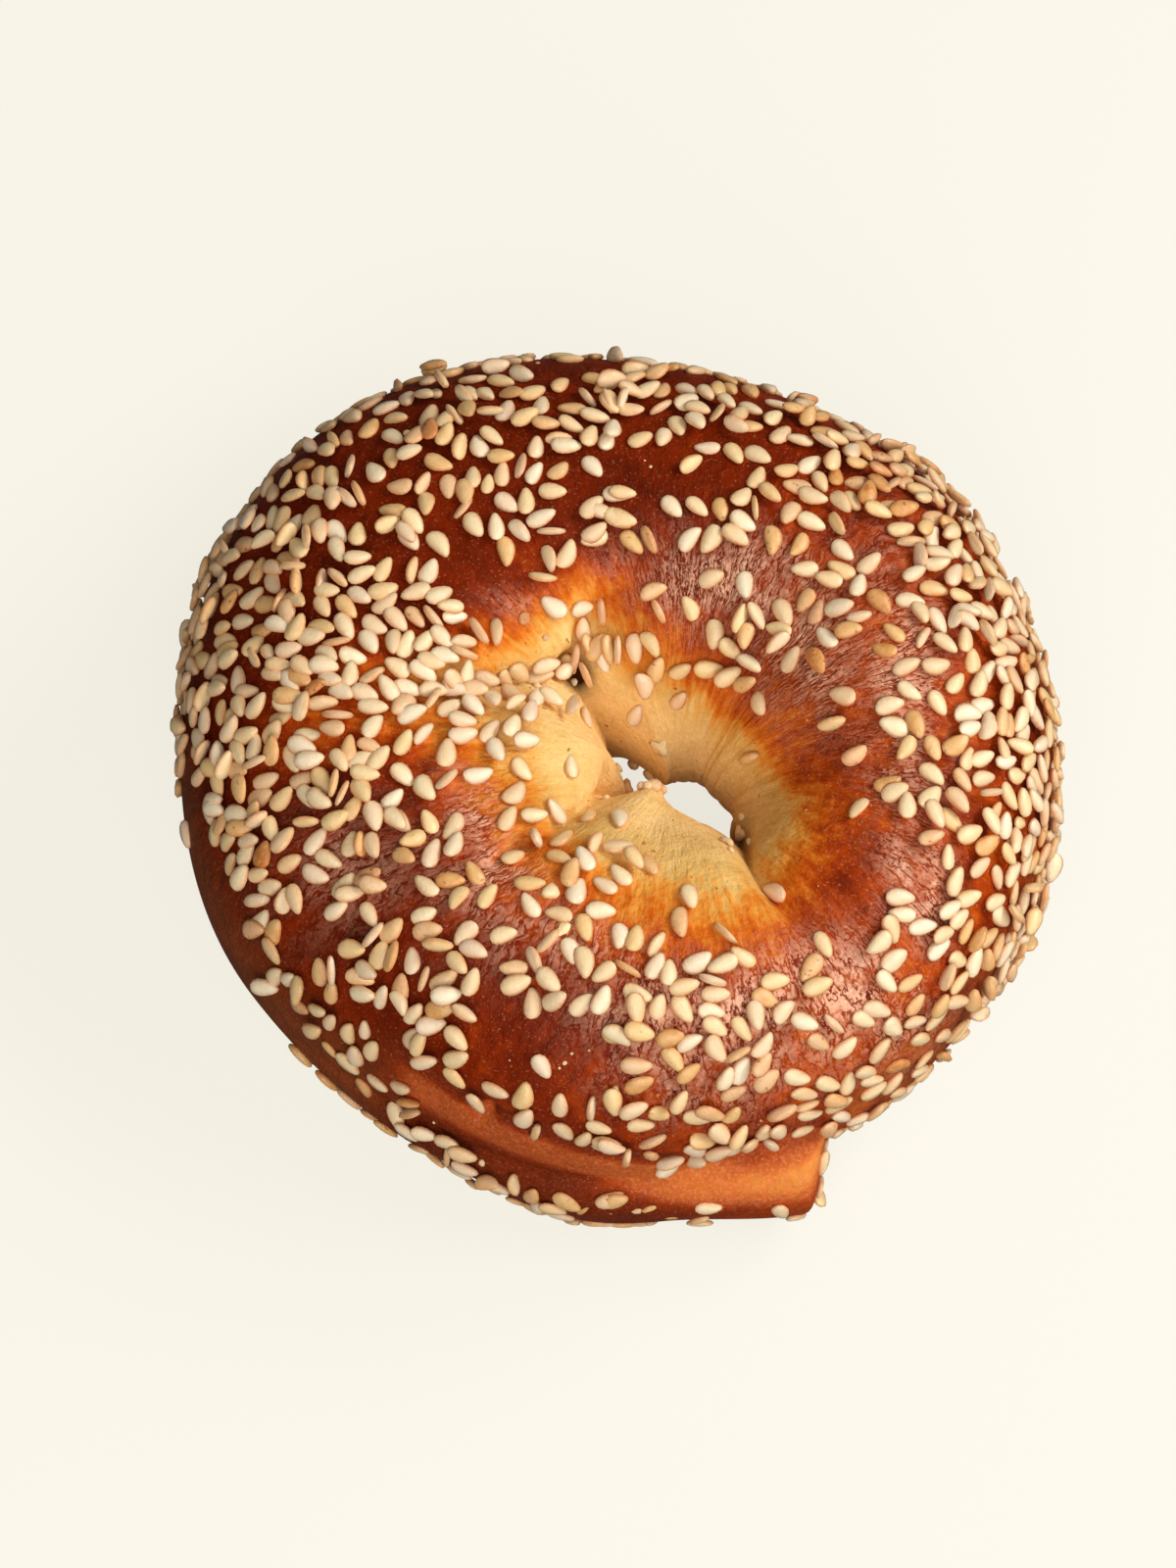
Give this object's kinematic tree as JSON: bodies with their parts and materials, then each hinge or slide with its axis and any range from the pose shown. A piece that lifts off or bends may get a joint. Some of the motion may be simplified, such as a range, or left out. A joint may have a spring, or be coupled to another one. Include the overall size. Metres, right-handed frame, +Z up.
{
  "type": "sesame bagel",
  "caption": "Ring of baked dough with a narrow slanting hole, folds where its ends join, a roll along the front and sesame seeds fused to the crust; lies on its flat foot.",
  "frame": {"origin": "under the middle of the bagel's box, on the surface it rests on", "axes": "+Z up through the hole, +Y from the front roll to the back, +X to the right of the front roll"},
  "size_m": [0.0906, 0.0917, 0.0336],
  "materials": {
    "crust": "baked crust, satin, golden round the hole and red-brown outside"
  },
  "bodies": {
    "root": {"sesame_bagel": "crust"}
  },
  "joints": []
}
